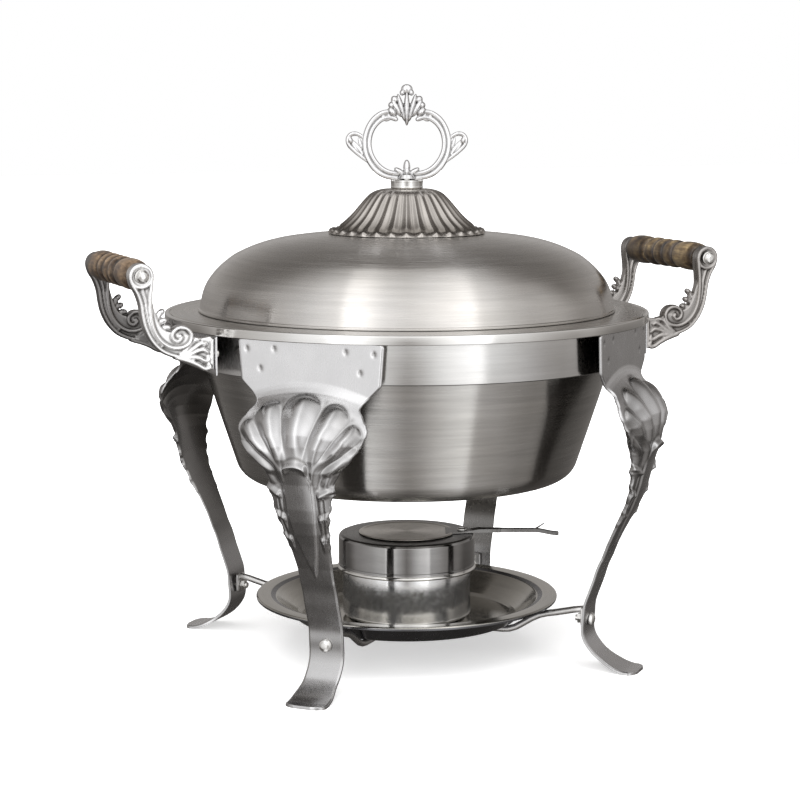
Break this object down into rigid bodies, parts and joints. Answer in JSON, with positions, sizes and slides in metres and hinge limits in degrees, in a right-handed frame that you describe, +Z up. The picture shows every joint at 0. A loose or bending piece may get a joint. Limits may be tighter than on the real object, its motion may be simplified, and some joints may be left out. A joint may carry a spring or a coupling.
{
  "type": "round chafer",
  "caption": "Round food warmer: domed lift-off lid on nested pans, carried by a hoop stand with scroll legs, wood-gripped side handles and a fuel burner tray.",
  "frame": {"origin": "on the ground at the centre of the round pans, between the four feet", "axes": "+X towards the right side handle, +Y towards the rear, +Z up"},
  "size_m": [0.4584, 0.356, 0.4209],
  "materials": {
    "lid_steel": "horizontally brushed stainless",
    "fluted_cap_steel": "pressed stainless, satin",
    "water_pan_steel": "horizontally brushed stainless with a polished rim",
    "food_pan_steel": "satin stainless",
    "hoop_steel": "bright brushed stainless",
    "stamped_leg": "satin stamped steel",
    "cast_scroll": "polished casting",
    "turned_wood": "turned hardwood, burnt grooves, satin lacquer",
    "wire_bar": "drawn wire",
    "hardware": "plated",
    "tray_steel": "polished stainless",
    "fuel_holder_steel": "polished stainless",
    "damper_steel": "satin stainless"
  },
  "bodies": {
    "stand": {"frame_band": "hoop_steel", "leg_front_left": "stamped_leg", "leg_front_right": "stamped_leg", "leg_rear_right": "stamped_leg", "leg_rear_left": "stamped_leg", "leg_screw_front_left": "hardware", "leg_screw_front_right": "hardware", "leg_screw_rear_right": "hardware", "leg_screw_rear_left": "hardware", "leg_nut_front_left": "hardware", "leg_nut_front_right": "hardware", "leg_nut_rear_right": "hardware", "leg_nut_rear_left": "hardware", "cross_bar_upper": "wire_bar", "cross_bar_lower": "wire_bar", "handle_plate_left": "stamped_leg", "wood_grip_left": "turned_wood", "grip_rod_left": "hardware", "handle_bracket_left_front": "cast_scroll", "bracket_rivet_left_front": "hardware", "grip_nut_left_front": "hardware", "handle_bracket_left_rear": "cast_scroll", "bracket_rivet_left_rear": "hardware", "grip_nut_left_rear": "hardware", "handle_plate_right": "stamped_leg", "wood_grip_right": "turned_wood", "grip_rod_right": "hardware", "handle_bracket_right_front": "cast_scroll", "bracket_rivet_right_front": "hardware", "grip_nut_right_front": "hardware", "handle_bracket_right_rear": "cast_scroll", "bracket_rivet_right_rear": "hardware", "grip_nut_right_rear": "hardware"},
    "water_pan": {"water_pan": "water_pan_steel"},
    "food_pan": {"food_pan": "food_pan_steel"},
    "lid": {"lid_dome": "lid_steel", "lid_fluted_cap": "fluted_cap_steel", "lid_collar": "cast_scroll", "lid_handle_loop": "cast_scroll", "lid_handle_screw": "hardware", "lid_handle_washer": "hardware"},
    "fuel_tray": {"fuel_tray": "tray_steel"},
    "fuel_cup": {"fuel_cup": "fuel_holder_steel"},
    "fuel_cover": {"fuel_cover": "fuel_holder_steel", "damper_rivet": "hardware"},
    "damper": {"damper": "damper_steel"}
  },
  "joints": [
    {"name": "water_pan_lift", "type": "slide", "parent": "stand", "child": "water_pan", "axis": [0, 0, 1], "range_m": [0, 0.14]},
    {"name": "food_pan_lift", "type": "slide", "parent": "water_pan", "child": "food_pan", "axis": [0, 0, 1], "range_m": [0, 0.1]},
    {"name": "lid_lift", "type": "slide", "parent": "food_pan", "child": "lid", "axis": [0, 0, 1], "range_m": [0, 0.15]},
    {"name": "fuel_tray_lift", "type": "slide", "parent": "stand", "child": "fuel_tray", "axis": [0, 0, 1], "range_m": [0, 0.005]},
    {"name": "fuel_cup_lift", "type": "slide", "parent": "fuel_tray", "child": "fuel_cup", "axis": [0, 0, 1], "range_m": [0, 0.005]},
    {"name": "fuel_cover_lift", "type": "slide", "parent": "fuel_cup", "child": "fuel_cover", "axis": [0, 0, 1], "range_m": [0, 0.018]},
    {"name": "damper_swing", "type": "hinge", "parent": "fuel_cover", "child": "damper", "pos_m": [0.03842, -0.01568, 0.089], "axis": [0, 0, 1], "range_deg": [0, 105]}
  ]
}
